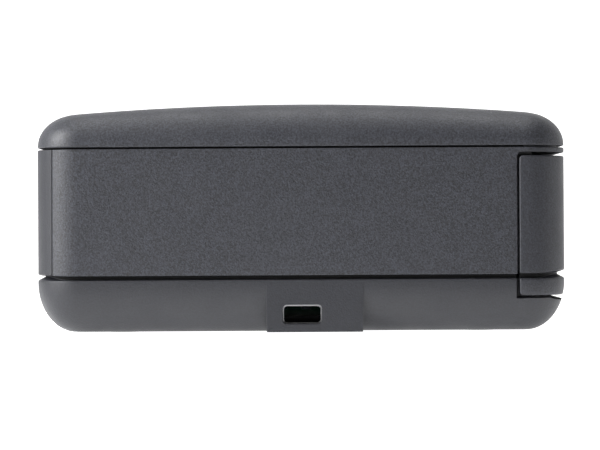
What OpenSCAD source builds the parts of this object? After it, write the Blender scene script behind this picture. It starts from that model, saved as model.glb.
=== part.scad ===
// Bench logic analyzer: a three-layer plastic case with a drop-down front door.
// +X is the front with the door, -X the rear panel, +Z up.
// The origin is on the table, under the middle of the case.

/* [Case] */
// Size from the rear panel to the front door
case_l = 98; // [96:0.5:100]
// Size across the case, along the door
case_w = 130; // [128:1:150]
// Height from the table to the top of the crown
case_h = 42.7; // [42.7:0.1:46]
// Radius of the four upright corners
corner_r = 8; // [7.8:0.1:8.2]
// Radius that the crown of the top cover follows
crown_r = 530; // [450:10:700]
// Thickness of the moulded walls
wall = 2.6; // [2.4:0.1:2.8]

/* [Layers] */
// Height of the base shell's rim
base_top = 10.25; // [10.2:0.05:10.4]
// Height of the shadow gap over the base shell
shadow_gap = 0.8; // [0.6:0.1:0.9]
// Height of the frame's upper rim
frame_top = 34.4; // [34.3:0.1:34.6]
// Height of the fine seam under the top cover
cover_seam = 0.35; // [0.25:0.05:0.4]
// Depth of both seams, from the outer face to the tongue
seam_depth = 1.4; // [1.2:0.1:1.5]

/* [Door] */
// Thickness of the door's wall
door_wall = 2.2; // [2:0.1:2.2]
// Distance from the case's middle to the door's wrapped edge
door_edge = 40.1; // [40:0.05:40.2]
// Height of the door's upper edge
door_top = 32.85; // [32.75:0.05:32.85]
// Height of the lip's lower edge
lip_bottom = 7.1; // [7.05:0.05:7.2]
// Diameter of the two hinge pins
pin_d = 1.6; // [1.5:0.1:1.6]
// Length of each hinge pin
pin_l = 8; // [8:0.5:9]

/* [Lock slot] */
// Width of the security slot
slot_w = 7; // [6.8:0.1:7.2]
// Height of the security slot
slot_h = 3.34; // [3:0.02:3.4]
// Height of the slot's middle over the table
slot_z = 3.8; // [3.7:0.05:3.9]
// Width of the flat boss round the slot
boss_w = 17.7; // [17:0.1:18.5]

/* [Electronics] */
// Height of the circuit board's underside
board_z = 9.4; // [9.3:0.1:9.5]
// Thickness of the circuit board
board_t = 1.6; // [1.5:0.1:1.7]
// Pins along each row of a probe header
header_count = 10; // [8:1:10]
// Height of the heat sink's fins
fin_h = 7; // [5:0.5:9]

/* [Feet] */
// Height of the base shell over the table
foot_h = 0.6; // [0.5:0.1:0.7]
// Radius of each rubber foot
foot_r = 5; // [4.5:0.5:5.5]

/* [Hidden] */

$fn = 64;
half_l = case_l / 2;
half_w = case_w / 2;
frame_bottom = base_top + shadow_gap;
cover_bottom = frame_top + cover_seam;
tongue_h = 2;                       // how far each tongue reaches past its seam
rim_rise = shadow_gap - 0.1;        // rise of the sloped rims inside the gap
door_gap = shadow_gap + 0.2;        // the gap is taller where it crosses the door
base_bend_x = 7.05;                 // reach of the bend between the base's floor and sides
base_bend_z = 9.1;                  // height of that bend
bend_steps = 16;
cover_bend_r = 6.8;                 // bend between the cover's top and its sides
bend_lift = 0.12;                   // lifts the bend a little clear of the crown
edge_bend_r = 7.5;                  // the same bend on the long sides
far = 200;                          // longer than the case in any direction

// front door, its pocket and its hinge
nose_inset = 2.5;                   // how far the case draws in behind the door
nose_wall = 2.4;
nose_start = 36.5;                  // where the drawn-in wall begins
frame_edge = door_edge - 0.38;      // side seam between frame and door
notch_edge = door_edge - 0.56;      // side seam between base and lip
brow_bottom = door_top + 0.64;      // frame strip over the door
pocket_floor = lip_bottom - 0.43;
panel_back = 40.5;
panel_face = 42.5;
tongue_end = 39;                    // tongues stop here, short of the door
pivot_x = 46.2;
pivot_z = 8.8;
pin_y = 51.5;                       // middle of each pin, either side of the case
ear_w = 3;
ear_r = 1.3;
ear_bore_r = pin_d / 2 + 0.05;
knuckle_r = 1.65;
knuckle_w = 3.3;
knuckle_gap = 0.2;
notch_r = 1.75;                     // room for the ear inside the lip
relief_r = 3.3;                     // room for the lip's swing
relief_y = 59;
snap_y = 45;
snap_z = 30.8;
snap_w = 3;
snap_t = 1;

// rear panel, with a slightly slanted inner face
rear_edge_low = -half_l + 2.74;
rear_edge_high = -half_l + 3.34;
rear_seam = 0.2;

// lock slot and boss
boss_x = 2.45;                      // boss middle, a little to the front of the slot
slot_x = 0.15;
slot_corner = 0.65;
plate_t = 1.5;
plate_w = 11.5;
plate_bottom = 1.6;
plate_block_t = 3.2;                // thickness of the wall that carries the plate
lock_bar_w = 10;                    // room behind the plate for a lock's turning bar

// fasteners
screw_sites = [[-38, -53], [-38, 53], [33.5, -53], [33.5, 53]];
screw_boss_r = 3.8;
boss_meet = 14;                     // where base and cover bosses meet
screw_head_z = 8;
screw_r = 1.5;
pillar_r = 3.175;                   // corner radius of the six-sided pillars
spigot_r = 2;                       // their round ends, pressed into the cover
spigot_l = 4;
pillar_top = 32;
thread_l = 8;
post_sites = [[-30, -42], [-30, 42], [20, -52], [20, 50]];
post_r = 3;
board_screw_r = 1.25;
foot_sites = [[-34, -39], [-34, 39], [34, -39], [34, 39]];
foot_sink = 1.4;

// board and what stands on it
board_top = board_z + board_t;
board_back = -45;
board_front = 39.2;
board_half_w = 59;
corner_notch = 4.3;
pitch = 2.54;
pin_side = 0.64;
header_sites = [-32, 4];
header_w = header_count * pitch + 8.1;
header_h = 9;
header_back = 33.5;
header_wall = 1.2;
header_mouth_back = 36.1;
pin_tip = 41.7;
row_z = [board_top + header_h / 2 - pitch / 2, board_top + header_h / 2 + pitch / 2];
row_leg_x = [31.8, 29.26];
jack_sites = [27, 36];
jack_z = board_top + 4.7;
jack_r = 3.1;
jack_tip = 45.2;
button_y = 45;
button_r = 2.9;
button_travel = 0.8;
light_z = 26;
light_side = 2.4;
light_back = 30.5;
rear_face = -half_l + 0.1;          // connectors stop just short of the outer face
usb_y = -12;
usb_w = 12;
usb_h = 10.8;
usb_l = 16.2;
dc_y = 18;
dc_w = 9;
dc_h = 11;
dc_l = 14;
dc_z = board_top + 6.4;
switch_y = -38;
switch_z = 20;
slider_w = 4;
slider_travel = 4;
chip_x = -4;
chip_side = 17;
chip_t = 1.5;
pad_t = 0.5;
sink_side = 21;
sink_base = 2;
fin_count = 7;

shell_grey = [0.24, 0.25, 0.27];
base_grey = [0.27, 0.28, 0.30];

// ---------- outlines ----------

// A rectangle from (x0, y0) to (x1, y1) with true round corners
module round_box_2d(x0, y0, x1, y1, r) {
    translate([x0 + r, y0]) square([x1 - x0 - 2 * r, y1 - y0]);
    translate([x0, y0 + r]) square([x1 - x0, y1 - y0 - 2 * r]);
    for (x = [x0 + r, x1 - r], y = [y0 + r, y1 - r])
        translate([x, y]) circle(r);
}

// The case seen from above, drawn in by inset
module plan(inset = 0) {
    round_box_2d(-half_l + inset, -half_w + inset, half_l - inset, half_w - inset,
        corner_r - inset);
}

// The case seen from above between two heights, kept to x0 <= x <= x1
module slab(inset, z0, z1, x0 = -far, x1 = far) {
    translate([0, 0, z0]) linear_extrude(z1 - z0) intersection() {
        plan(inset);
        translate([x0, -far]) square([x1 - x0, 2 * far]);
    }
}

// What the walls enclose: it draws in further behind the door
module cavity_plan(front) {
    intersection() {
        plan(wall);
        translate([-far, -far]) square([far + nose_start, 2 * far]);
    }
    intersection() {
        plan(nose_inset + nose_wall);
        translate([-far, -far]) square([far + front, 2 * far]);
    }
}

// Turns an outline in x and z into a bar along y
module along_y() {
    rotate([90, 0, 0]) linear_extrude(2 * far, center = true) children();
}

// Turns an outline in y and z into a bar along x
module along_x() {
    rotate([90, 0, 90]) linear_extrude(2 * far, center = true) children();
}

// Base seen along one axis, with an elliptic bend from its sides to its floor
module base_bend_2d(half, inset) {
    reach = base_bend_x - inset;
    rise = base_bend_z - inset;
    bend = [for (i = [0:bend_steps]) let (turn = 90 * i / bend_steps)
        [half - inset - reach * (1 - cos(turn)), foot_h + inset + rise * (1 - sin(turn))]];
    polygon(concat([[half - inset, far]], bend,
        [for (i = [bend_steps:-1:0]) [-bend[i][0], bend[i][1]]], [[-half + inset, far]]));
}

// Solid base outline with its bends, up to z1
module base_body(inset, z1) {
    intersection() {
        slab(inset, foot_h + inset, z1);
        along_y() base_bend_2d(half_l, inset);
        along_x() base_bend_2d(half_w, inset);
    }
}

// Crowned top of the cover with its round shoulders, seen along y
module crown_2d(inset) {
    shoulder_x = half_l - cover_bend_r;
    reach = crown_r - cover_bend_r;
    shoulder_z = case_h - crown_r + sqrt(reach * reach - shoulder_x * shoulder_x) + bend_lift;
    bend = cover_bend_r - inset;
    intersection() {
        translate([0, case_h - crown_r]) circle(crown_r - inset, $fn = 720);
        union() {
            translate([-half_l + inset, 0]) square([case_l - 2 * inset, shoulder_z]);
            translate([-shoulder_x, 0]) square([2 * shoulder_x, case_h]);
            for (side = [-1, 1])
                translate([side * shoulder_x, shoulder_z]) circle(bend);
        }
    }
}

// Solid cover outline from z0 up to the crown
module cover_body(inset, z0) {
    intersection() {
        slab(inset, z0, case_h);
        along_y() crown_2d(inset);
        along_x() round_box_2d(-half_w + inset, -far, half_w - inset, case_h - inset,
            edge_bend_r - inset);
    }
}

// ---------- small helpers ----------

// A box from one corner to the opposite one
module block(from, to) {
    translate(from) cube(to - from);
}

// A box that stands on the board, placed by the middle of its footprint
module on_board(x, y, size, lift = 0) {
    translate([x - size[0] / 2, y - size[1] / 2, board_top + lift]) cube(size);
}

// A round bar along x
module rod_x(x0, x1, y, z, r) {
    translate([x0, y, z]) rotate([0, 90, 0]) cylinder(h = x1 - x0, r = r);
}

// A round bar along y, at the door's pivot line unless told otherwise
module rod_y(y0, y1, r, x = pivot_x, z = pivot_z) {
    translate([x, y1, z]) rotate([90, 0, 0]) cylinder(h = y1 - y0, r = r);
}

module at_sites(sites) {
    for (site = sites)
        translate([site[0], site[1], 0]) children();
}

// Everything on the +Y side, repeated on the -Y side
module both_sides() {
    children();
    mirror([0, 1, 0]) children();
}

// ---------- case ----------

// Sloped rim in the shadow gap, along the straight part of the front
module sloped_rim() {
    reach = half_w - corner_r;
    translate([0, reach, 0]) rotate([90, 0, 0]) linear_extrude(2 * reach)
        polygon([[half_l, base_top], [half_l - seam_depth, base_top + rim_rise],
            [half_l - seam_depth - 0.2, base_top + rim_rise],
            [half_l - seam_depth - 0.2, base_top - 0.2], [half_l, base_top - 0.2]]);
}

module lock_slot(w, h, y0, y1) {
    translate([slot_x, y1, slot_z]) rotate([90, 0, 0]) linear_extrude(y1 - y0)
        round_box_2d(-w / 2, -h / 2, w / 2, h / 2, slot_corner);
}

// Room that the door's lip needs as it swings
module lip_relief() {
    rod_y(-relief_y, relief_y, relief_r);
    both_sides() translate([pivot_x, relief_y, pivot_z]) rotate([-90, 0, 0])
        cylinder(h = 4.2, r1 = relief_r, r2 = 2);
}

module door_pocket() {
    difference() {
        block([notch_edge, -far, pocket_floor], [far, far, base_top + 5]);
        slab(nose_inset, 0, base_top + 6, -far, panel_face);
    }
    difference() {
        lip_relief();
        slab(nose_inset, 0, base_top + 6, -far, panel_face);
    }
}

module hinge_ears() {
    both_sides() difference() {
        union() {
            rod_y(pin_y - ear_w / 2, pin_y + ear_w / 2, ear_r);
            block([panel_face - 0.5, pin_y - ear_w / 2, pivot_z - ear_r],
                [pivot_x, pin_y + ear_w / 2, pivot_z + ear_r]);
        }
        rod_y(pin_y - ear_w, pin_y + ear_w, ear_bore_r);
    }
}

module floor_vents() {
    for (i = [-3:3])
        translate([i * 5 + chip_x, 0, 0]) linear_extrude(2 * wall + 1)
            round_box_2d(-1, -13, 1, 13, 0.95);
}

module base_shell() color(base_grey) {
    difference() {
        union() {
            difference() {
                union() {
                    base_body(0, base_top);
                    slab(seam_depth, base_top - 1, base_top + shadow_gap + tongue_h,
                        -far, tongue_end);
                }
                intersection() {
                    base_body(wall, far);
                    linear_extrude(far) cavity_plan(panel_back - 0.5);
                }
            }
            mirror([1, 0, 0]) sloped_rim();
            // flat boss round the lock slot, with a seat for the steel plate
            block([boss_x - boss_w / 2, -half_w, foot_h],
                [boss_x + boss_w / 2, -half_w + base_bend_x + 1, base_top]);
            intersection() {
                block([boss_x - boss_w / 2, -half_w + wall, 0],
                    [boss_x + boss_w / 2, -half_w + wall + plate_block_t, base_top]);
                base_body(0, base_top);
            }
            at_sites(screw_sites) translate([0, 0, foot_h + 1])
                cylinder(h = boss_meet - foot_h - 1, r = screw_boss_r);
            at_sites(post_sites) translate([0, 0, foot_h + 1])
                cylinder(h = board_z - foot_h - 1, r = post_r);
        }
        // clear the boss's back, then the plate's seat and the room behind the plate
        block([boss_x - boss_w / 2, -half_w + wall + plate_block_t, foot_h + wall],
            [boss_x + boss_w / 2, -half_w + base_bend_x + 2, far]);
        block([slot_x - plate_w / 2, -half_w + wall, plate_bottom],
            [slot_x + plate_w / 2, -half_w + wall + plate_t, far]);
        block([slot_x - lock_bar_w / 2, -half_w + wall, plate_bottom + 0.3],
            [slot_x + lock_bar_w / 2, -half_w + 13, slot_z + slot_h / 2 + 1]);
        lock_slot(slot_w, slot_h, -half_w - 1, -half_w + wall + 1);
        door_pocket();
        at_sites(screw_sites) {
            cylinder(h = screw_head_z, r = 3.1);
            cylinder(h = far, r = screw_r + 0.2);
        }
        at_sites(post_sites) translate([0, 0, 4.4]) cylinder(h = far, r = board_screw_r);
        at_sites(foot_sites) cylinder(h = foot_h + foot_sink, r = foot_r);
        floor_vents();
        rear_windows();
    }
    hinge_ears();
}

module rear_half_space(gap) {
    along_y() polygon([[rear_edge_low + gap, 0], [rear_edge_high + gap, case_h],
        [-far, case_h], [-far, 0]]);
}

module mid_frame() color(shell_grey) difference() {
    union() {
        slab(0, frame_bottom, frame_top, -far, frame_edge);
        slab(nose_inset, base_top, brow_bottom + 0.1, nose_start, panel_back);
        slab(0, brow_bottom, frame_top, nose_start, far);
    }
    linear_extrude(far) cavity_plan(panel_back);
    slab(seam_depth, 0, frame_bottom + tongue_h, -far, tongue_end);
    slab(seam_depth, frame_top - tongue_h, far, -far, tongue_end);
    rear_half_space(rear_seam);
}

module top_cover() color(shell_grey) {
    difference() {
        union() {
            cover_body(0, cover_bottom);
            slab(seam_depth, frame_top, cover_bottom + 0.5);
            slab(seam_depth, frame_top - tongue_h, cover_bottom + 0.5, -far, tongue_end);
        }
        cover_body(wall, 0);
    }
    at_sites(screw_sites) difference() {
        translate([0, 0, pillar_top]) cylinder(h = 7.5, r = screw_boss_r - 0.3);
        cylinder(h = pillar_top + spigot_l, r = spigot_r);
    }
}

// Windows for the connectors in the rear panel
module rear_windows() {
    block([-far, usb_y - usb_w / 2, board_top], [0, usb_y + usb_w / 2, board_top + usb_h]);
    block([-far, dc_y - dc_w / 2, board_top], [0, dc_y + dc_w / 2, board_top + dc_h]);
    block([-far, switch_y - slider_w, switch_z - 2], [0, switch_y + slider_w, switch_z + 2]);
    for (i = [0:5])
        translate([-half_l, 36 + i * 3.2, 23]) rotate([0, 90, 0]) linear_extrude(20, center = true)
            round_box_2d(-6, -0.8, 6, 0.8, 0.75);
}

module rear_panel() color(base_grey) difference() {
    intersection() {
        slab(0, frame_bottom, frame_top);
        rear_half_space(0);
    }
    slab(seam_depth, 0, frame_bottom + tongue_h);
    slab(seam_depth, frame_top - tongue_h, far);
    rear_windows();
}

module front_panel() color([0.16, 0.16, 0.17]) difference() {
    slab(nose_inset, base_top, brow_bottom, panel_back, panel_face);
    for (y = header_sites)
        block([0, y - header_w / 2 - 0.1, board_top - 0.1],
            [far, y + header_w / 2 + 0.1, board_top + header_h + 0.1]);
    for (y = jack_sites)
        rod_x(0, far, y, jack_z, jack_r + 0.1);
    rod_x(0, far, button_y, jack_z, button_r + 0.1);
    for (y = concat(jack_sites, button_y))
        block([0, y - light_side / 2, light_z - light_side / 2],
            [far, y + light_side / 2, light_z + light_side / 2]);
    both_sides() block([0, snap_y - snap_w / 2 - 0.3, snap_z - 0.8],
        [far, snap_y + snap_w / 2 + 0.3, snap_z + 1.1]);
}

// ---------- door ----------

// Room for the ear inside the door's lip, all the way through its swing
module ear_notch() {
    half = ear_w / 2 + knuckle_gap;
    rod_y(pin_y - half, pin_y + half, notch_r);
    block([pivot_x - 6, pin_y - half, 0], [pivot_x, pin_y + half, pivot_z + notch_r]);
    block([pivot_x - 1, pin_y - half, 0], [pivot_x + notch_r, pin_y + half, pivot_z]);
}

module door_shell() {
    intersection() {
        difference() {
            base_body(0, far);
            slab(door_wall, 0, far);
        }
        along_y() round_box_2d(door_edge, lip_bottom, far, door_top, 0.75);
    }
}

module front_door() color(base_grey) difference() {
    union() {
        difference() {
            door_shell();
            // the shadow gap runs on through the door, over a sloped rim
            difference() {
                slab(-1, base_top, base_top + door_gap);
                slab(seam_depth, 0, far);
                sloped_rim();
            }
            // finger scoop in the upper edge
            rod_y(-8, 8, 7, half_l + 5.4, door_top);
        }
        both_sides() for (side = [-1, 1]) {
            y = pin_y + side * (ear_w / 2 + knuckle_gap + knuckle_w / 2);
            rod_y(y - knuckle_w / 2, y + knuckle_w / 2, knuckle_r);
        }
        both_sides() block([panel_face - 0.7, snap_y - snap_w / 2, snap_z - snap_t / 2],
            [half_l - 1, snap_y + snap_w / 2, snap_z + snap_t / 2]);
    }
    both_sides() {
        ear_notch();
        rod_y(pin_y - pin_l / 2, pin_y + pin_l / 2, pin_d / 2);
    }
}

module hinge_pins() color([0.75, 0.75, 0.77])
    both_sides() rod_y(pin_y - pin_l / 2, pin_y + pin_l / 2, pin_d / 2);

// ---------- case hardware ----------

module lock_plate() color([0.6, 0.61, 0.63]) difference() {
    block([slot_x - plate_w / 2, -half_w + wall, plate_bottom],
        [slot_x + plate_w / 2, -half_w + wall + plate_t, base_top]);
    lock_slot(slot_w - 0.2, slot_h - 0.3, -half_w, 0);
}

module rubber_feet() color([0.09, 0.09, 0.09]) at_sites(foot_sites) {
    translate([0, 0, foot_h]) cylinder(h = foot_sink, r = foot_r);
    cylinder(h = foot_h, r1 = foot_r - 0.5, r2 = foot_r);
}

// Six-sided pillars that tie the cover to the base
module threaded_pillars() color([0.72, 0.58, 0.28]) at_sites(screw_sites) difference() {
    union() {
        translate([0, 0, boss_meet]) cylinder(h = pillar_top - boss_meet, r = pillar_r, $fn = 6);
        translate([0, 0, pillar_top - 1]) cylinder(h = spigot_l + 1, r = spigot_r);
    }
    cylinder(h = boss_meet + thread_l, r = screw_r);
}

module case_screws() color([0.35, 0.35, 0.37]) at_sites(screw_sites) difference() {
    union() {
        translate([0, 0, screw_head_z - 2.4]) cylinder(h = 2.4, r = 2.75);
        translate([0, 0, screw_head_z - 0.5]) cylinder(h = 12.5, r = screw_r);
    }
    for (turn = [0, 90])
        rotate([0, 0, turn]) block([-1.7, -0.35, 0], [1.7, 0.35, screw_head_z - 1.2]);
}

module board_screws() color([0.7, 0.7, 0.72]) at_sites(post_sites) difference() {
    union() {
        translate([0, 0, board_top]) cylinder(h = 1.6, r = 2.3);
        translate([0, 0, board_top - 5.5]) cylinder(h = 6, r = board_screw_r);
    }
    for (turn = [0, 90])
        rotate([0, 0, turn]) block([-1.4, -0.3, board_top + 0.8], [1.4, 0.3, far]);
}

// ---------- board ----------

module pin_positions() {
    for (y = header_sites, i = [0:header_count - 1], row = [0, 1])
        translate([0, y + (i - (header_count - 1) / 2) * pitch, 0]) {
            $row = row;
            children();
        }
}

module main_board() color([0.07, 0.28, 0.16]) difference() {
    block([board_back, -board_half_w, board_z], [board_front, board_half_w, board_top]);
    // each corner is cut away round the case screw's boss
    for (site = screw_sites)
        translate([site[0], site[1], 0]) mirror([site[0] < 0 ? 1 : 0, 0, 0])
            mirror([0, site[1] < 0 ? 1 : 0, 0])
                block([-corner_notch, -corner_notch, 0], [far, far, far]);
    at_sites(post_sites) cylinder(h = far, r = board_screw_r + 0.15);
    pin_positions() translate([row_leg_x[$row], 0, 0]) cylinder(h = far, r = 0.5, $fn = 16);
}

module probe_headers() color([0.08, 0.08, 0.09]) difference() {
    for (y = header_sites)
        difference() {
            block([header_back, y - header_w / 2, board_top],
                [panel_face, y + header_w / 2, board_top + header_h]);
            block([header_mouth_back, y - header_w / 2 + header_wall, board_top + header_wall],
                [far, y + header_w / 2 - header_wall, board_top + header_h - header_wall]);
            block([header_mouth_back, y - 2.25, board_top + header_wall],
                [far, y + 2.25, far]);
        }
    pin_positions() block([0, -pin_side / 2, row_z[$row] - pin_side / 2],
        [far, pin_side / 2, row_z[$row] + pin_side / 2]);
}

module probe_header_pins() color([0.83, 0.68, 0.3]) pin_positions() {
    block([row_leg_x[$row] - pin_side / 2, -pin_side / 2, row_z[$row] - pin_side / 2],
        [pin_tip, pin_side / 2, row_z[$row] + pin_side / 2]);
    block([row_leg_x[$row] - pin_side / 2, -pin_side / 2, board_z - 0.9],
        [row_leg_x[$row] + pin_side / 2, pin_side / 2, row_z[$row] + pin_side / 2]);
}

module trigger_jacks() color([0.8, 0.66, 0.32]) for (y = jack_sites) difference() {
    union() {
        on_board(37, y, [7, 6.6, 8.4]);
        rod_x(40, jack_tip, y, jack_z, jack_r);
    }
    rod_x(36, far, y, jack_z, 1.9);
}

module jack_insulators() color([0.92, 0.92, 0.9]) for (y = jack_sites) difference() {
    rod_x(36, 42, y, jack_z, 1.9);
    rod_x(0, far, y, jack_z, 0.5);
}

module jack_contacts() color([0.85, 0.7, 0.3])
    for (y = jack_sites) rod_x(36, 44.4, y, jack_z, 0.5);

module usb_socket() color([0.78, 0.79, 0.8]) difference() {
    block([rear_face, usb_y - usb_w / 2, board_top],
        [rear_face + usb_l, usb_y + usb_w / 2, board_top + usb_h]);
    block([-far, usb_y - 4.4, board_top + 1.2], [rear_face + 11, usb_y + 4.4, board_top + 7.4]);
    block([-far, usb_y - 3, board_top + 1.2], [rear_face + 11, usb_y + 3, board_top + 9.2]);
}

module usb_socket_tongue() color([0.9, 0.9, 0.88])
    block([rear_face + 2, usb_y - 2.8, board_top + 3.6], [rear_face + 11, usb_y + 2.8, board_top + 6.6]);

module dc_jack() color([0.07, 0.07, 0.07]) difference() {
    block([rear_face, dc_y - dc_w / 2, board_top],
        [rear_face + dc_l, dc_y + dc_w / 2, board_top + dc_h]);
    rod_x(-far, rear_face + 10, dc_y, dc_z, 3.2);
}

module dc_jack_pin() color([0.78, 0.78, 0.8])
    rod_x(rear_face + 1, rear_face + 10, dc_y, dc_z, 1.05);

module power_switch() color([0.1, 0.1, 0.11]) difference() {
    block([-45.6, switch_y - 7, board_top], [-38.6, switch_y + 7, switch_z + 4]);
    block([-far, switch_y - slider_w - 0.2, switch_z - 1.7],
        [-42.6, switch_y + slider_w + 0.2, switch_z + 1.7]);
}

module power_slider() color([0.2, 0.2, 0.21])
    block([rear_face, switch_y - slider_w + 0.1, switch_z - 1.5],
        [-42.8, switch_y - 0.1, switch_z + 1.5]);

// Cap, flange and stem, at rest against the back of the panel
module run_button() color([0.75, 0.75, 0.74]) {
    rod_x(panel_back, 44.3, button_y, jack_z, button_r);
    rod_x(panel_back - 1, panel_back, button_y, jack_z, button_r + 0.5);
    rod_x(38.65, panel_back - 0.5, button_y, jack_z, 1.5);
}

module run_button_switch() color([0.12, 0.12, 0.12]) {
    on_board(35.2, button_y, [3.6, 6, 7.2]);
    rod_x(36.5, 38.65 - button_travel - 0.05, button_y, jack_z, 1.2);
}

module status_leds() color([0.85, 0.9, 0.82]) for (y = concat(jack_sites, button_y))
    on_board(light_back, y, [2, 1.4, 0.9]);

module light_pipes() color([0.85, 0.88, 0.9]) {
    half = light_side / 2;
    for (y = concat(jack_sites, button_y)) {
        block([light_back - half, y - half, board_top + 1.1],
            [light_back + half, y + half, light_z + half]);
        block([light_back - half, y - half, light_z - half],
            [panel_face + 0.4, y + half, light_z + half]);
    }
    block([37, jack_sites[0] - half, light_z - half], [39.5, button_y + half, light_z - half + 1]);
}

module logic_array_chip() color([0.1, 0.1, 0.11])
    on_board(chip_x, 0, [chip_side, chip_side, chip_t]);

module thermal_pad() color([0.55, 0.62, 0.7])
    on_board(chip_x, 0, [chip_side - 2, chip_side - 2, pad_t], chip_t);

module heat_sink() color([0.3, 0.31, 0.33]) {
    on_board(chip_x, 0, [sink_side, sink_side, sink_base], chip_t + pad_t);
    for (i = [0:fin_count - 1])
        on_board(chip_x, (i - (fin_count - 1) / 2) * (sink_side - 1.2) / (fin_count - 1),
            [sink_side, 1.2, fin_h + sink_base], chip_t + pad_t);
}

module memory_chips() color([0.1, 0.1, 0.11])
    for (y = [-22, 22]) on_board(chip_x, y, [8, 12, 1.1]);

module usb_controller() color([0.1, 0.1, 0.11]) on_board(-24, -12, [8, 8, 0.9]);

module input_buffers() color([0.1, 0.1, 0.11])
    for (y = header_sites, side = [-1, 1]) on_board(22, y + side * 8, [5, 6.4, 1.5]);

module power_inductors() color([0.2, 0.2, 0.22])
    for (x = [-26, -17]) on_board(x, 30, [6, 6, 3]);

module electrolytic_capacitors() color([0.72, 0.73, 0.75]) for (x = [-20, -12, -4])
    translate([x, 46, board_top]) cylinder(h = 7.7, r = 3.15);

module crystal() color([0.8, 0.8, 0.8]) on_board(-16, -14, [3.2, 5, 1.1]);

module voltage_regulator() color([0.12, 0.12, 0.12]) on_board(-26, 20, [9, 6.5, 2.3]);

module input_fuse() color([0.85, 0.84, 0.78]) on_board(-34, 8, [6.1, 2.6, 2.6]);

module ceramic_capacitors() color([0.66, 0.52, 0.36]) {
    for (side = [-1, 1], i = [-4:4])
        on_board(chip_x + i * 2, side * 12.5, [0.8, 1.6, 0.8]);
    for (y = header_sites, i = [-3:3])
        on_board(26.6, y + i * 4, [0.8, 1.6, 0.8]);
}

base_shell();
mid_frame();
top_cover();
rear_panel();
front_panel();
front_door();
hinge_pins();
lock_plate();
rubber_feet();
threaded_pillars();
case_screws();
main_board();
board_screws();
probe_headers();
probe_header_pins();
trigger_jacks();
jack_insulators();
jack_contacts();
usb_socket();
usb_socket_tongue();
dc_jack();
dc_jack_pin();
power_switch();
power_slider();
run_button();
run_button_switch();
status_leds();
light_pipes();
logic_array_chip();
thermal_pad();
heat_sink();
memory_chips();
usb_controller();
input_buffers();
power_inductors();
electrolytic_capacitors();
crystal();
voltage_regulator();
input_fuse();
ceramic_capacitors();
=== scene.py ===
"""Looks of the bench logic analyzer: moulded shells, door, hardware, studio and camera.

Outlines are written in millimetres and become metres when a mesh is made.
+X is the front door, -X the rear panel, and the lock slot is on the -Y side.
"""
import math

import bmesh
import bpy
from mathutils import Matrix, Vector


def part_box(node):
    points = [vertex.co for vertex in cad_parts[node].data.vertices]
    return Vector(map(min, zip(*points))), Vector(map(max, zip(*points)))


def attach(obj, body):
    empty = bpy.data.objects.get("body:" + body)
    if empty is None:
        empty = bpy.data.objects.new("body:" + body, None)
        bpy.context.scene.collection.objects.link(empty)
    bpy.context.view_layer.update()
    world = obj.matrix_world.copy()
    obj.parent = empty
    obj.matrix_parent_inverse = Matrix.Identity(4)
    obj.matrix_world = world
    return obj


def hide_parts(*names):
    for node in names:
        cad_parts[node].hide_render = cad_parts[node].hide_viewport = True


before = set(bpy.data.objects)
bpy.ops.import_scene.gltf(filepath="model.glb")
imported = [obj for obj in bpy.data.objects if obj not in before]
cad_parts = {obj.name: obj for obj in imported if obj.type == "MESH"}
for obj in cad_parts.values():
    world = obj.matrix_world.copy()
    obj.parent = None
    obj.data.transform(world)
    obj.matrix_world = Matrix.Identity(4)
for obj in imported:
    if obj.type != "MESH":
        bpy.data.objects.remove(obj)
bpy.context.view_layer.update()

MM = 0.001


def box_mm(node):
    """Lowest and highest corner of a CAD node, in millimetres."""
    low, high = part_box(node)
    return low / MM, high / MM


# ---------- sizes, from the frame ----------

base_low = box_mm("base_shell")[0]
rear_low, rear_high = box_mm("rear_panel")
cover_high = box_mm("top_cover")[1]
door_low, door_high = box_mm("front_door")
panel_low, panel_high = box_mm("front_panel")
plate_low, plate_high = box_mm("lock_plate")
pins_low, pins_high = box_mm("hinge_pins")

half_l = cover_high.x
half_w = cover_high.y
base_z = base_low.z                     # base plane, on top of the feet
frame_bottom = rear_low.z
frame_top = rear_high.z
apex = cover_high.z
pivot_x = (pins_low.x + pins_high.x) / 2
pivot_z = (pins_low.z + pins_high.z) / 2
pin_r = (pins_high.z - pins_low.z) / 2

# ---------- sizes that the frame doesn't say, in millimetres ----------

CORNER_R = 8.0                          # upright corners
SMALLEST_R = 0.05                       # what is left of them where an outline is drawn in past them
CROWN_R = 530.0                         # of the cover's top, seen from the side
WALL = 2.6
SHADOW_GAP = 0.8
COVER_SEAM = 0.35
SEAM_DEPTH = 1.4
RIM_RISE = 0.7                          # how far the base's rim slopes up into the gap, front and rear
REAR_RISE = 0.2                         # slope of the rear panel's lower edge
DOOR_RISE = 0.45                        # slope of the door panel's lower edge
DOOR_GAP = 1.0                          # the gap is taller where it crosses the door
TONGUE_H = 2.0
base_top = frame_bottom - SHADOW_GAP
cover_bottom = frame_top + COVER_SEAM
BASE_BEND = (7.05, 9.1)                 # reach inwards and height of the bend under the case
FLOOR_R = 5.4                           # bend between the floor and the walls, inside
CEILING_R = 5.0
COVER_BEND = 7.0
COVER_BEND_POWER = 2.2                  # a little fuller than an ellipse
RIM_ROUND = 0.22
TONGUE_END = 38.6                       # the tongues end here, behind the door
TONGUE_STUB = 0.9                       # what is left of the base's tongue ahead of that
NOSE_INSET = 2.5                        # the nose is drawn in by this behind the door
NOSE_WALL = 2.4
NOSE_START = 36.5
NOSE_LOW = 2.7                          # its foot over the base plane, inside the bend
PIN_Y = 51.5
EAR_W = 3.0
EAR_ROOT = 1.2                          # how far it reaches back into the nose
EAR_R = 1.3
EAR_BORE_GAP = 0.05
KNUCKLE_GAP = 0.2
KNUCKLE_W = 3.3
KNUCKLE_R = 1.65
NOTCH_R = 1.75                          # the door's notch round an ear
TAB_Y = 45.0                            # the door's snap tabs
TAB_W = 3.0
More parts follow.
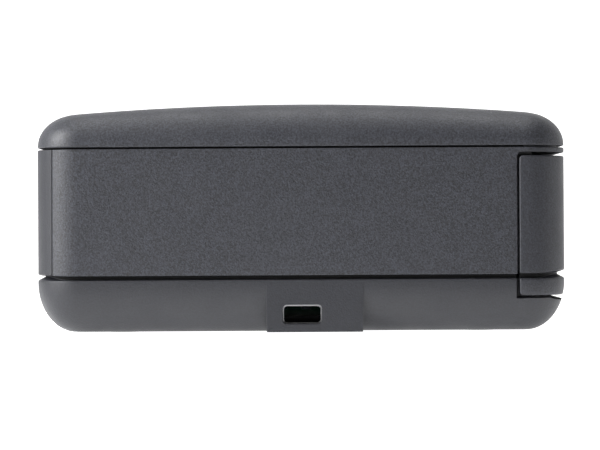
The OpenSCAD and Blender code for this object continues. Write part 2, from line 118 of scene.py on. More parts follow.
TAB_Z = 30.8
TAB_T = 1.0
REAR_EDGE = (-45.947, -45.746)          # rear panel's inner face at the base plane and at the crown
REAR_SEAM = 0.02                        # its edges are round, so it reads as a fine groove
SIDE_SEAM = 0.38                        # upright seam between frame and door
LIP_SEAM = 0.56                         # the same beside the lip
LIP_GAP = 0.43                          # under the lip
BROW_GAP = 0.64                         # over the door
OPENING_R = 0.85                        # corners of the frame's opening for the door
RELIEF = ((-63.2, 2.0), (-59, 3.3), (59, 3.3), (63.2, 2.0))     # trough for the lip: y and radius
BOSS_X = (-6.4, 11.3)                   # rear and front end of the flat boss
BOSS_BACK = 3.2                         # how much thicker than the wall it is
SLOT = (7.0, 3.34)                      # security slot
SLOT_X = 0.15
SLOT_Z = 3.86
SLOT_CORNER = 0.65
SLOT_EASE = 0.1                         # the slot's mouth is wider by this, for its rounded edge
BAR_ROOM_HALF = 5                       # room behind the slot for a lock's bar
BAR_ROOM_DEPTH = 13
BAR_ROOM_Z = (1.9, 6.5)
SCREW_BOSS_R = 3.8
SCREW_BOSS_TOP = 14
SCREW_WELL_R = 3.1
FOOT_R = 5.02
FOOT_RECESS = 1.4
REAR_VENTS = [36 + 3.2 * i for i in range(6)]   # their places across the rear panel
REAR_VENT_HALF = 0.8
REAR_VENT_Z = (17, 29)
SWITCH_WINDOW = (8.0, 4.0)              # its width and height
REAR_CUT = -44                          # cutters for the rear end here, inside the case
FLOOR_VENT_PITCH = 5
FLOOR_VENT_HALF = (1, 13)
FLOOR_CUT = (-5, 8)                     # cutters for the floor reach from here to there
EASE = {"base": 0.14, "frame": 0.16, "rear": 0.16, "door": 0.1}     # how far sharp edges are rounded
SCREW_SITES = [(-38, -53), (-38, 53), (33.5, -53), (33.5, 53)]
FOOT_SITES = [(-34, -39), (-34, 39), (34, -39), (34, 39)]
FAR = 200.0                             # past everything

# ---------- mesh helpers ----------


def finish_mesh(obj, sharp=32):
    """Points normals outwards, and shades smooth apart from edges over that many degrees."""
    bm = bmesh.new()
    bm.from_mesh(obj.data)
    bmesh.ops.remove_doubles(bm, verts=bm.verts, dist=2e-7)
    bmesh.ops.recalc_face_normals(bm, faces=bm.faces)
    bm.to_mesh(obj.data)
    bm.free()
    obj.data.shade_smooth()
    obj.data.set_sharp_from_angle(angle=math.radians(sharp))
    return obj


def new_object(name, points, faces):
    """A mesh object from points in millimetres."""
    mesh = bpy.data.meshes.new(name)
    mesh.from_pydata([(x * MM, y * MM, z * MM) for x, y, z in points], [], faces)
    obj = bpy.data.objects.new(name, mesh)
    bpy.context.scene.collection.objects.link(obj)
    return finish_mesh(obj)


def loft(name, rings, loop=False):
    """Skins a list of rings with the same number of points: closed by caps, or into a loop."""
    n = len(rings[0])
    count = len(rings)
    points = [p for ring in rings for p in ring]
    faces = []
    for i in range(count if loop else count - 1):
        a, b = i * n, ((i + 1) % count) * n
        faces += [(a + k, a + (k + 1) % n, b + (k + 1) % n, b + k) for k in range(n)]
    if not loop:
        faces.append(tuple(range(n)))
        faces.append(tuple((count - 1) * n + k for k in range(n)))
    return new_object(name, points, faces)


def prism(name, outline, low, high, axis="z"):
    """A closed outline pushed along an axis. Outlines are (x, y), (x, z) along y, or (y, z) along x."""
    def place(p, h):
        return {"z": (p[0], p[1], h), "y": (p[0], h, p[1]), "x": (h, p[0], p[1])}[axis]
    return loft(name, [[place(p, h) for p in outline] for h in (low, high)])


def block(name, low, high):
    """A box between two corners."""
    outline = [(low[0], low[1]), (high[0], low[1]), (high[0], high[1]), (low[0], high[1])]
    return prism(name, outline, low[2], high[2])


def round_outline(x0, z0, x1, z1, r, steps=6):
    """A rectangle with round corners."""
    points = []
    centres = [(x1 - r, z0 + r, -90), (x1 - r, z1 - r, 0), (x0 + r, z1 - r, 90), (x0 + r, z0 + r, 180)]
    for cx, cz, start in centres:
        for k in range(steps + 1):
            turn = math.radians(start + 90 * k / steps)
            points.append((cx + r * math.cos(turn), cz + r * math.sin(turn)))
    return points


def circle_outline(x, z, r, steps=32):
    """A circle as an outline."""
    turns = [2 * math.pi * k / steps for k in range(steps)]
    return [(x + r * math.cos(t), z + r * math.sin(t)) for t in turns]


def rod(name, x, z, r, low, high, axis="y", steps=32):
    """A round bar along an axis."""
    return prism(name, circle_outline(x, z, r, steps), low, high, axis)


def apply_modifiers(obj):
    """Turns what an object's modifiers do into its own mesh."""
    graph = bpy.context.evaluated_depsgraph_get()
    mesh = bpy.data.meshes.new_from_object(obj.evaluated_get(graph))
    obj.modifiers.clear()
    old = obj.data
    obj.data = mesh
    bpy.data.meshes.remove(old)


def combine(obj, tool, operation="DIFFERENCE"):
    """Applies a boolean to obj and removes the tool."""
    boolean = obj.modifiers.new("cut", "BOOLEAN")
    boolean.operation = operation
    boolean.solver = "EXACT"
    boolean.object = tool
    apply_modifiers(obj)
    bpy.data.objects.remove(tool)
    return obj


def cut(obj, *tools):
    """Takes every tool out of obj."""
    for tool in tools:
        combine(obj, tool)
    return obj


def add(obj, *tools):
    """Joins every tool to obj."""
    for tool in tools:
        combine(obj, tool, "UNION")
    return obj


def soften(obj, width, segments=2, limit=40):
    """Rounds the edges that are sharper than the limit, for good."""
    bevel = obj.modifiers.new("soften", "BEVEL")
    bevel.width = width * MM
    bevel.segments = segments
    bevel.limit_method = "ANGLE"
    bevel.angle_limit = math.radians(limit)
    bevel.use_clamp_overlap = False
    bevel.miter_outer = "MITER_ARC"
    apply_modifiers(obj)
    return finish_mesh(obj, 40)


def keep_inside(obj, node):
    """Draws points that the rounding left outside a CAD node's box back onto it."""
    low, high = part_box(node)
    for vertex in obj.data.vertices:
        vertex.co = [min(max(c, a), b) for c, a, b in zip(vertex.co, low, high)]
    return obj


# ---------- the case's outline ----------

SIDE_STEPS = 28                         # along the short straight sides
LONG_STEPS = 30                         # along the long straight sides
ARC_STEPS = 14


def outline_sites():
    """Where each point of the case's outline hangs: its arc or side centre and its outward normal."""
    reach_x = half_l - CORNER_R
    reach_y = half_w - CORNER_R
    sites = []
    corners = [(1, -1, -90), (1, 1, 0), (-1, 1, 90), (-1, -1, 180)]
    sides = [((-1, -1), (1, -1), SIDE_STEPS), ((1, -1), (1, 1), LONG_STEPS),
             ((1, 1), (-1, 1), SIDE_STEPS), ((-1, 1), (-1, -1), LONG_STEPS)]
    for (sx, sy, start), (a, b, steps) in zip(corners, sides):
        turn = math.radians(start)
        for k in range(1, steps):
            t = k / steps
            sites.append((a[0] + (b[0] - a[0]) * t, a[1] + (b[1] - a[1]) * t, turn))
        for k in range(ARC_STEPS + 1):
            sites.append((sx, sy, math.radians(start + 90 * k / ARC_STEPS)))
    return [(u, v, math.cos(t), math.sin(t)) for u, v, t in sites], reach_x, reach_y


SITES, REACH_X, REACH_Y = outline_sites()


def ring(inset, z):
    """The case's outline drawn in by inset. The height z may be a function of x and of facing_x."""
    r = max(CORNER_R - inset, SMALLEST_R)
    shrink = max(inset - (CORNER_R - SMALLEST_R), 0)
    points = []
    for u, v, nx, ny in SITES:
        x = u * (REACH_X - shrink) + r * nx
        y = v * (REACH_Y - shrink) + r * ny
        points.append((x, y, z(x, facing_x(nx)) if callable(z) else z))
    return points


def crown(x):
    """Height of the cover's crown."""
    return apex - CROWN_R + math.sqrt(CROWN_R * CROWN_R - x * x)


def facing_x(nx):
    """0 on the long sides and 1 at the front and the rear."""
    t = min(max((abs(nx) - 0.35) / 0.6, 0), 1)
    return t * t * (3 - 2 * t)


def quarter(steps):
    """Cosine and sine over a quarter turn."""
    return [(math.cos(math.pi / 2 * k / steps), math.sin(math.pi / 2 * k / steps)) for k in range(steps + 1)]


# ---------- base shell ----------


def rim(inset, drop):
    """Height of the base's upper edge: it slopes up into the gap at the front and rear."""
    return lambda x, f: base_top - drop + RIM_RISE * f * inset / SEAM_DEPTH


def underside(inset, lift, rise=0):
    """Height of the edge over the gap, which slopes up towards the outside at the front and rear."""
    return lambda x, f: frame_bottom + lift + (REAR_RISE if x < 0 else rise) * f * (1 - inset / SEAM_DEPTH)


def base_outside():
    """Rings from the tongue's root down to the middle of the base's underside."""
    f = RIM_ROUND
    rings = [ring(i, rim(i, 0)) for i in (SEAM_DEPTH, 1, 0.6)]
    rings += [ring(f * (1 - s), rim(f * (1 - s), f * (1 - c))) for c, s in quarter(4)]
    reach, height = BASE_BEND
    bend_top = base_z + height
    for c, s in quarter(18):
        rings.append(ring(reach * (1 - c), bend_top - height * s))
    rings += [ring(i, base_z) for i in (12, 30, half_l - 0.2)]
    return rings


def base_inside():
    """Rings from the middle of the floor up to the tongue's outer foot."""
    floor = base_z + WALL
    rings = [ring(i, floor) for i in (half_l - 0.2, 30, 12)]
    for c, s in reversed(quarter(6)):
        rings.append(ring(WALL + FLOOR_R * (1 - c), floor + FLOOR_R * (1 - s)))
    rings.append(ring(WALL, base_top))

    def tongue_top(x, f):
        return base_top + (SHADOW_GAP + TONGUE_H if x < TONGUE_END else TONGUE_STUB)
    return rings + [ring(WALL, tongue_top), ring(SEAM_DEPTH, tongue_top)]


def half_plan(inset, front, steps=12):
    """The case's outline from the middle to the front, cut off flat at front."""
    r = CORNER_R - inset
    points = []
    for side in (-1, 1):
        arc = []
        for k in range(steps + 1):
            turn = math.radians(90 * k / steps)
            x = REACH_X + r * math.sin(turn)
            if x < front:
                arc.append((x, side * (REACH_Y + r * math.cos(turn))))
        arc.insert(0, (NOSE_START - 2, side * (half_w - inset)))
        reach = math.sqrt(max(r * r - (front - REACH_X) ** 2, 0)) if front > REACH_X else r
        arc.append((front, side * (REACH_Y + reach)))
        points += arc if side < 0 else arc[::-1]
    return points


def door_pocket():
    """The room for the door's lip in the base's upper front edge."""
    pocket = block("pocket", (DOOR_EDGE - LIP_SEAM, -FAR, door_low.z - LIP_GAP), (FAR, FAR, base_top + 9))
    combine(pocket, lip_relief(), "UNION")
    nose = prism("nose", half_plan(NOSE_INSET, panel_high.x), -5, base_top + 12)
    return cut(pocket, nose)


def lip_relief():
    """A round trough for the lip's swing, drawn in at both ends."""
    rings = []
    for y, r in RELIEF:
        rings.append([(x, y, z) for x, z in circle_outline(pivot_x, pivot_z, r, 48)])
    return loft("relief", rings)


def hinge_ear(side):
    """One ear with its bore, on the base's nose."""
    low, high = sorted((side * (PIN_Y - EAR_W / 2), side * (PIN_Y + EAR_W / 2)))
    root = panel_high.x - EAR_ROOT
    outline = [(root, pivot_z + EAR_R), (root, pivot_z - EAR_R)]
    for k in range(17):
        turn = math.radians(-90 + 180 * k / 16)
        outline.append((pivot_x + EAR_R * math.cos(turn), pivot_z + EAR_R * math.sin(turn)))
    ear = prism("ear", outline, low, high, "y")
    return cut(ear, rod("ear_bore", pivot_x, pivot_z, pin_r + EAR_BORE_GAP, low - 1, high + 1, steps=24))


def lock_boss():
    """Flat boss round the lock slot, square to the side."""
    back = -half_w + WALL + BOSS_BACK
    boss = block("boss", (BOSS_X[0], -half_w, base_z), (BOSS_X[1], -half_w + CORNER_R, base_top - 0.3))
    return cut(boss, block("boss_back", (BOSS_X[0], back, base_z + WALL), (BOSS_X[1], -half_w + 9, 30)))


def slot_cutter(margin, low, high):
    """The security slot's outline pushed through the boss."""
    w, h = SLOT[0] / 2 + margin, SLOT[1] / 2 + margin
    outline = round_outline(SLOT_X - w, SLOT_Z - h, SLOT_X + w, SLOT_Z + h, SLOT_CORNER + margin)
    return prism("slot", outline, low, high, "y")


def socket_windows():
    """Cutters for the two sockets at the rear."""
    tools = []
    for node in ("usb_socket", "dc_jack"):
        low, high = box_mm(node)
        tools.append(block("window", (-FAR, low.y - 0.05, low.z), (REAR_CUT, high.y + 0.05, high.z + 0.05)))
    return tools


def switch_and_vent_windows():
    """Cutters for the switch and the vents in the rear panel."""
    low, high = box_mm("power_slider")
    side = low.y - 0.1
    foot = (low.z + high.z - SWITCH_WINDOW[1]) / 2
    outline = round_outline(side, foot, side + SWITCH_WINDOW[0], foot + SWITCH_WINDOW[1], 0.5)
    tools = [prism("window", outline, -FAR, REAR_CUT, "x")]
    for y in REAR_VENTS:
        outline = round_outline(y - REAR_VENT_HALF, REAR_VENT_Z[0], y + REAR_VENT_HALF, REAR_VENT_Z[1], 0.75)
        tools.append(prism("vent", outline, -FAR, REAR_CUT, "x"))
    return tools


def floor_cutters():
    """Vents, screw wells and foot recesses in the underside."""
    tools = []
    chip_low, chip_high = box_mm("logic_array_chip")
    middle = (chip_low.x + chip_high.x) / 2
    w, h = FLOOR_VENT_HALF
    for i in range(-3, 4):
        x = middle + FLOOR_VENT_PITCH * i
        tools.append(prism("vent", round_outline(x - w, -h, x + w, h, 0.95), *FLOOR_CUT))
    for x, y in SCREW_SITES:
        tools.append(rod("well", x, y, SCREW_WELL_R, *FLOOR_CUT, "z"))
    for x, y in FOOT_SITES:
        tools.append(rod("recess", x, y, FOOT_R, FLOOR_CUT[0], base_z + FOOT_RECESS, "z", 48))
    return tools


def make_base():
    """The lower shell."""
    base = loft("base_shell_moulding", base_inside() + base_outside())
    add(base, lock_boss())
    for x, y in SCREW_SITES:
        add(base, rod("screw_boss", x, y, SCREW_BOSS_R, base_z + 1, SCREW_BOSS_TOP, "z"))
    cut(base, door_pocket())
    nose = prism("nose", half_plan(NOSE_INSET, panel_high.x), base_z + NOSE_LOW, base_top)
    hollow = prism("hollow", half_plan(NOSE_INSET + NOSE_WALL, panel_low.x - 0.5), base_z + WALL + 1, 30)
    add(base, cut(nose, hollow))
    cut(base, slot_cutter(SLOT_EASE, -FAR, -half_w + WALL + 0.5))
    cut(base, block("bar_room", (SLOT_X - BAR_ROOM_HALF, -half_w + WALL + 0.2, BAR_ROOM_Z[0]),
                    (SLOT_X + BAR_ROOM_HALF, -half_w + BAR_ROOM_DEPTH, BAR_ROOM_Z[1])))
    cut(base, block("seat", tuple(plate_low), (plate_high.x, plate_high.y, 30)))
    cut(base, *floor_cutters(), *socket_windows())
    add(base, hinge_ear(1), hinge_ear(-1))
    return keep_inside(soften(base, EASE["base"]), "base_shell")


# ---------- frame, rear panel and cover ----------


def frame_rings():
    """Closed profile of the frame's wall, with ledges for both tongues."""
    f = RIM_ROUND
    rings = [ring(f * (1 - s), underside(f * (1 - s), f * (1 - c))) for c, s in quarter(3)]
    rings += [ring(f * (1 - c), frame_top - f * (1 - s)) for c, s in quarter(3)]
    rings += [ring(SEAM_DEPTH, frame_top), ring(SEAM_DEPTH, frame_top - TONGUE_H),
              ring(WALL, frame_top - TONGUE_H), ring(WALL, frame_bottom + TONGUE_H),
              ring(SEAM_DEPTH, frame_bottom + TONGUE_H), ring(SEAM_DEPTH, frame_bottom)]
    return rings


def rear_cutter(gap, keep_rear):
    """Everything ahead of the rear panel's slanted face, or behind it."""
    low = REAR_EDGE[0] + gap
    high = REAR_EDGE[1] + gap
    side = FAR if keep_rear else -FAR
    return prism("rear_cutter", [(low, 0), (high, apex), (side, apex), (side, 0)], -FAR, FAR, "y")


def make_frame():
    """The middle band, with the strip over the door and the drawn-in nose behind it."""
    body = loft("mid_frame_moulding", frame_rings(), loop=True)
    brow_bottom = door_high.z + BROW_GAP
    outline = round_outline(DOOR_EDGE - SIDE_SEAM, -20, FAR, brow_bottom, OPENING_R)
    cut(body, prism("opening", outline, -FAR, FAR, "y"))
    nose = prism("nose", half_plan(NOSE_INSET, panel_low.x), base_top, brow_bottom + 0.3)
    brow_plan = half_plan(SEAM_DEPTH - 0.2, half_l - SEAM_DEPTH + 0.2)
    brow = prism("brow", brow_plan, brow_bottom, frame_top - 0.02)
    hollow = prism("hollow", half_plan(NOSE_INSET + NOSE_WALL, panel_low.x), 0, 60)
    add(body, cut(add(nose, brow), hollow))
    cut(body, rear_cutter(REAR_SEAM, False))
    return keep_inside(soften(body, EASE["frame"]), "mid_frame")


def make_rear_panel():
    """The rear panel, with its windows and vents."""
    f = RIM_ROUND
    rings = [ring(half_l - 0.2, frame_bottom), ring(SEAM_DEPTH, frame_bottom)]
    rings += [ring(f * (1 - s), underside(f * (1 - s), f * (1 - c))) for c, s in quarter(3)]
    rings += [ring(f * (1 - c), frame_top - f * (1 - s)) for c, s in quarter(3)]
    rings += [ring(SEAM_DEPTH, frame_top), ring(half_l - 0.2, frame_top)]
    panel = loft("rear_panel_moulding", rings)
    cut(panel, rear_cutter(0, True))
    for z in (frame_bottom - 5, frame_top - TONGUE_H):
        cut(panel, loft("ledge", [ring(SEAM_DEPTH, z), ring(SEAM_DEPTH, z + 5 + TONGUE_H)]))
    cut(panel, *socket_windows(), *switch_and_vent_windows())
    return keep_inside(soften(panel, EASE["rear"]), "rear_panel")


def cover_point(s, drop=0):
    """Height of the cover at a share s of its rise to a given drop under the crown."""
    return lambda x, f: cover_bottom + s * (crown(x) - drop - cover_bottom)


def make_cover():
    """The crowned top cover."""
    def ceiling(drop):
        return lambda x, f: crown(x) - drop

    rings = [ring(i, ceiling(WALL)) for i in (half_l - 0.2, 30, 12)]
    for c, s in reversed(quarter(5)):
        rings.append(ring(WALL + CEILING_R * (1 - c), cover_point(s, WALL)))

    def tongue_low(x, f):
        return frame_top - TONGUE_H if x < TONGUE_END else frame_top

    rings += [ring(WALL, tongue_low), ring(SEAM_DEPTH, tongue_low), ring(SEAM_DEPTH, cover_bottom)]
    f = RIM_ROUND
    rings += [ring(f * (1 - s), cover_bottom + f * (1 - c)) for c, s in quarter(3)]
    power = 2 / COVER_BEND_POWER
    for c, s in quarter(20)[2:]:
        rings.append(ring(COVER_BEND * (1 - c ** power if c > 1e-9 else 1), cover_point(s ** power)))
    rings += [ring(i, cover_point(1)) for i in (9, 12, 16, 22, 28, 34, 40, 45, half_l - 0.2)]
    return loft("top_cover_moulding", rings)


# ---------- front door ----------

DOOR_EDGE = 40.1                        # its snap tabs reach further in, so its box doesn't say this
DOOR_WALL = 2.2
GROOVE = 1.36                           # depth of the shadow gap in the door
DOOR_EDGE_R = 0.3
DOOR_INNER_R = 0.15
DOOR_CORNER_R = 0.7
END_STEPS = 4                           # round the outer edge of the wall's end
INNER_END_STEPS = 2
INNER_ARC_STEPS = 8
SCOOP_R = 7.0                           # the finger scoop is a part of a wide round groove
SCOOP_SHIFT = 5.4
SCOOP_HALF = 8.6
SCOOP_FADE = 1.6
LIP_LEVELS = (7.7, 8.2, 8.7, 9.2, 9.7)
DOOR_LEVELS = (14, 20, 26, 28.4)
SCOOP_LEVELS = [28.6 + 0.3 * k for k in range(12)]
# points across the door's face, closest together at the finger scoop
DOOR_LONG = [-57, -50, -40, -28, -16, -10] + [-9 + 0.5 * k for k in range(37)] + [10, 16, 28, 40, 50, 57]


def scoop(y, z):
    """How far the finger scoop draws the door's face in."""
    rise = SCOOP_R ** 2 - (door_high.z - z) ** 2
    if rise <= 0 or abs(y) > SCOOP_HALF:
        return 0
    depth = max(math.sqrt(rise) - SCOOP_SHIFT, 0)
    t = min((SCOOP_HALF - abs(y)) / SCOOP_FADE, 1)
    return depth * t * t * (3 - 2 * t)


def door_start(z):
    """Where the door's upright edge is: drawn in near its round ends."""
    r = DOOR_CORNER_R
    past = max(door_low.z + r - z, z - door_high.z + r, 0)
    return DOOR_EDGE + r - math.sqrt(max(r * r - past * past, 0))


def door_loop(outer, inner, z):
    """One level of the door: round the outside from -Y to +Y, and back round the inside."""
    edge_x = door_start(z)
    r_end = min(DOOR_EDGE_R, REACH_X - edge_x - 0.05)
    turns = [math.radians(180 + 90 * k / END_STEPS) for k in range(END_STEPS + 1)]
    o = outer(0)
    path = [(edge_x + r_end + r_end * math.cos(t), -half_w + o + r_end + r_end * math.sin(t)) for t in turns]
    path.append(((edge_x + r_end + REACH_X) / 2, -half_w + o))
    for k in range(ARC_STEPS + 1):
        turn = math.radians(-90 + 90 * k / ARC_STEPS)
        nx = math.cos(turn)
        r = CORNER_R - outer(nx)
        path.append((REACH_X + r * nx, -REACH_Y + r * math.sin(turn)))
    flat = [(half_l - outer(1) - scoop(y, z), y) for y in DOOR_LONG[1:-1]]
    points = path + flat + [(x, -y) for x, y in reversed(path)]
    r_in = DOOR_INNER_R
    turns = [math.radians(180 - 90 * k / INNER_END_STEPS) for k in range(INNER_END_STEPS + 1)]
    back = [(edge_x + r_in + r_in * math.cos(t), -half_w + inner - r_in + r_in * math.sin(t)) for t in turns]
    back.append((REACH_X, -half_w + inner))
    r = CORNER_R - inner
    for k in range(1, INNER_ARC_STEPS + 1):
        turn = math.radians(-90 + 90 * k / INNER_ARC_STEPS)
        back.append((REACH_X + r * math.cos(turn), -REACH_Y + r * math.sin(turn)))
    points += [(x, -y) for x, y in back] + back[::-1]
    return [(x, y, z) for x, y in points]


def lip_rings():
    """Levels of the door's lip, from its lower edge up: it follows the base's bend."""
    reach, height = BASE_BEND

    def below(z):
        s = min(max((base_z + height - z) / height, 0), 1)
        return reach * (1 - math.sqrt(1 - s * s))

    rings = []
    for c, s in quarter(4):
        z = door_low.z + DOOR_EDGE_R * (1 - c)
        outer = below(z) + DOOR_EDGE_R * (1 - s)
        rings.append(door_loop(lambda nx: outer, DOOR_WALL - 0.2 * (1 - s), z))
    for z in LIP_LEVELS:
        rings.append(door_loop(lambda nx: below(z), DOOR_WALL, z))
    return rings


def sloped(loop, height):
    """A door level whose height is a function of facing_x on its outside."""
    points = []
    for (x, y, z), nx in zip(loop, door_normals()):
        points.append((x, y, z if nx is None else height(facing_x(nx))))
    return points


def make_door_shell():
    """The door's wall, wrapped round both corners, with the shadow gap running through it."""
    rings = lip_rings()
    r = RIM_ROUND
    slope = RIM_RISE / SEAM_DEPTH
    for c, s in reversed(quarter(4)):
        inset, drop = r * (1 - s), r * (1 - c)
        loop = door_loop(lambda nx: inset, DOOR_WALL, base_top - 0.4 + inset)
        rings.append(sloped(loop, lambda f: base_top - drop + slope * f * inset))
    for inset in (0.7, GROOVE):
        loop = door_loop(lambda nx: inset, DOOR_WALL, base_top - 0.2 + 0.1 * inset)
        rings.append(sloped(loop, lambda f: base_top + slope * f * inset))
    panel_low = base_top + DOOR_GAP
    rings.append(door_loop(lambda nx: GROOVE, DOOR_WALL, panel_low))
    for c, s in quarter(3):
        inset, lift = r * (1 - s), r * (1 - c)
        loop = door_loop(lambda nx: inset, DOOR_WALL, panel_low + 0.2 + lift)
        rings.append(sloped(loop, lambda f: panel_low + lift + DOOR_RISE * f * (1 - inset / GROOVE)))
    corner = door_high.z - DOOR_CORNER_R
    levels = [*DOOR_LEVELS, *(z for z in SCOOP_LEVELS if z < corner - 0.05)]
    levels += [corner + 0.4 * k / 6 for k in range(7)]
    rings += [door_loop(lambda nx: 0, DOOR_WALL, z) for z in levels]
    for c, s in quarter(4)[1:]:
        z = door_high.z - DOOR_EDGE_R * (1 - s)
        rings.append(door_loop(lambda nx: DOOR_EDGE_R * (1 - c), DOOR_WALL - 0.15 * (1 - c), z))
    return loft("front_door_moulding", rings)


def door_normals():
    """Which way the wall faces at each point of a door level, or None on its inside."""
    arc = [math.cos(math.radians(-90 + 90 * k / ARC_STEPS)) for k in range(ARC_STEPS + 1)]
    path = [0] * (END_STEPS + 2) + arc
    outside = path + [1] * (len(DOOR_LONG) - 2) + path[::-1]
    inside = 2 * (INNER_END_STEPS + 2 + INNER_ARC_STEPS)
    return outside + [None] * inside


def make_door():
    """The door with its knuckles, snap tabs and the notches for the base's ears."""
    door = make_door_shell()
    half = EAR_W / 2 + KNUCKLE_GAP
    for side in (-1, 1):
        for end in (-1, 1):
            y = side * PIN_Y + end * (half + KNUCKLE_W / 2)
            add(door, rod("knuckle", pivot_x, pivot_z, KNUCKLE_R, y - KNUCKLE_W / 2, y + KNUCKLE_W / 2))
        mid = side * PIN_Y
        cut(door, rod("notch", pivot_x, pivot_z, NOTCH_R, mid - half, mid + half),
            block("notch", (pivot_x - 6, mid - half, 0), (pivot_x, mid + half, pivot_z + NOTCH_R)),
            block("notch", (pivot_x - 1, mid - half, 0), (pivot_x + NOTCH_R, mid + half, pivot_z)),
            rod("pin_bore", pivot_x, pivot_z, pin_r, mid - 4, mid + 4, steps=24))
        tab_low = (door_low.x, side * TAB_Y - TAB_W / 2, TAB_Z - TAB_T / 2)
        tab_high = (half_l - 1, side * TAB_Y + TAB_W / 2, TAB_Z + TAB_T / 2)
        add(door, block("tab", tab_low, tab_high))
    return keep_inside(soften(door, EASE["door"]), "front_door")


# ---------- materials ----------


def node_material(name):
    """A new material, its nodes, its links and its shader."""
    material = bpy.data.materials.new(name)
    material.use_nodes = True
    nodes = material.node_tree.nodes
    return material, nodes, material.node_tree.links, nodes["Principled BSDF"]


def noise(nodes, links, coordinate, scale, detail=2.0, roughness=0.5):
    """Noise in object space."""
    texture = nodes.new("ShaderNodeTexNoise")
    texture.inputs["Scale"].default_value = scale
    texture.inputs["Detail"].default_value = detail
    texture.inputs["Roughness"].default_value = roughness
    links.new(coordinate, texture.inputs["Vector"])
    return texture.outputs["Fac"]


def remap(nodes, links, value, low, high, from_low=0.3, from_high=0.7):
    """Stretches a value onto another range."""
    node = nodes.new("ShaderNodeMapRange")
    node.inputs["From Min"].default_value = from_low
    node.inputs["From Max"].default_value = from_high
    node.inputs["To Min"].default_value = low
    node.inputs["To Max"].default_value = high
    links.new(value, node.inputs["Value"])
    return node.outputs["Result"]


def joined(nodes, links, operation, a, b):
    """Sum (ADD) or product (MULTIPLY) of two values."""
    node = nodes.new("ShaderNodeMath")
    node.operation = operation
    links.new(a, node.inputs[0])
    links.new(b, node.inputs[1])
    return node.outputs[0]


def tinted(nodes, links, color, factor):
    """A colour times a value."""
    node = nodes.new("ShaderNodeVectorMath")
    node.operation = "SCALE"
    node.inputs[0].default_value = color
    links.new(factor, node.inputs["Scale"])
    return node.outputs["Vector"]


def raise_by(nodes, links, shader, height, strength, depth_mm):
    """Gives a shader a bump of that depth."""
    bump = nodes.new("ShaderNodeBump")
    bump.inputs["Strength"].default_value = strength
    bump.inputs["Distance"].default_value = depth_mm * MM
    links.new(height, bump.inputs["Height"])
    links.new(bump.outputs["Normal"], shader.inputs["Normal"])


def textured_plastic(name, color, grain_mm, depth_mm, contrast, rough=0.5):
    """Spark-eroded moulded plastic: packed round grains, uneven gloss and faint dust-like mottling."""
    material, nodes, links, shader = node_material(name)
    where = nodes.new("ShaderNodeTexCoord").outputs["Object"]
    grains = nodes.new("ShaderNodeTexVoronoi")
    grains.feature = "SMOOTH_F1"
    grains.inputs["Scale"].default_value = 1 / (grain_mm * MM)
    grains.inputs["Smoothness"].default_value = 0.6
    links.new(where, grains.inputs["Vector"])
    fine = noise(nodes, links, where, 1 / (grain_mm * MM), 2, 0.5)
    pits = remap(nodes, links, grains.outputs["Distance"], 1, 0, 0.0, 0.8)
    raise_by(nodes, links, shader, joined(nodes, links, "ADD", pits, fine), 1, depth_mm)
    speckle = remap(nodes, links, fine, 1 - contrast, 1 + contrast, 0.32, 0.68)
    cloud = remap(nodes, links, noise(nodes, links, where, 60, 3), 0.96, 1.04)
    shade = joined(nodes, links, "MULTIPLY", speckle, cloud)
    links.new(tinted(nodes, links, color, shade), shader.inputs["Base Color"])
    patch = noise(nodes, links, where, 170, 4, 0.6)
    links.new(remap(nodes, links, patch, rough - 0.05, rough + 0.06), shader.inputs["Roughness"])
    return material


def smooth_plastic(name, color, rough=0.3, mottling=0.08, specular=0.5):
    """Moulded or resin surface with fine ripples and uneven gloss."""
    material, nodes, links, shader = node_material(name)
    where = nodes.new("ShaderNodeTexCoord").outputs["Object"]
    fine = noise(nodes, links, where, 2500, 4, 0.6)
    broad = noise(nodes, links, where, 220, 3)
    shade = remap(nodes, links, broad, 1 - mottling, 1 + mottling)
    links.new(tinted(nodes, links, color, shade), shader.inputs["Base Color"])
    links.new(remap(nodes, links, fine, rough - 0.06, rough + 0.08), shader.inputs["Roughness"])
    raise_by(nodes, links, shader, fine, 0.4, 0.01)
    shader.inputs["Specular IOR Level"].default_value = specular
    return material


def metal(name, color, rough=0.3, brushed=(1, 1, 1)):
    """Plated or turned metal: brushed is how far its marks are stretched along each axis."""
    material, nodes, links, shader = node_material(name)
    shader.inputs["Metallic"].default_value = 1
    where = nodes.new("ShaderNodeTexCoord").outputs["Object"]
    stretch = nodes.new("ShaderNodeVectorMath")
    stretch.operation = "MULTIPLY"
    stretch.inputs[1].default_value = brushed
    links.new(where, stretch.inputs[0])
    marks = noise(nodes, links, stretch.outputs[0], 3000, 4, 0.7)
    stain = noise(nodes, links, where, 350, 3)
    shade = remap(nodes, links, stain, 0.88, 1.06)
    links.new(tinted(nodes, links, color, shade), shader.inputs["Base Color"])
    links.new(remap(nodes, links, marks, rough - 0.1, rough + 0.12), shader.inputs["Roughness"])
    raise_by(nodes, links, shader, marks, 0.3, 0.008)
    return material


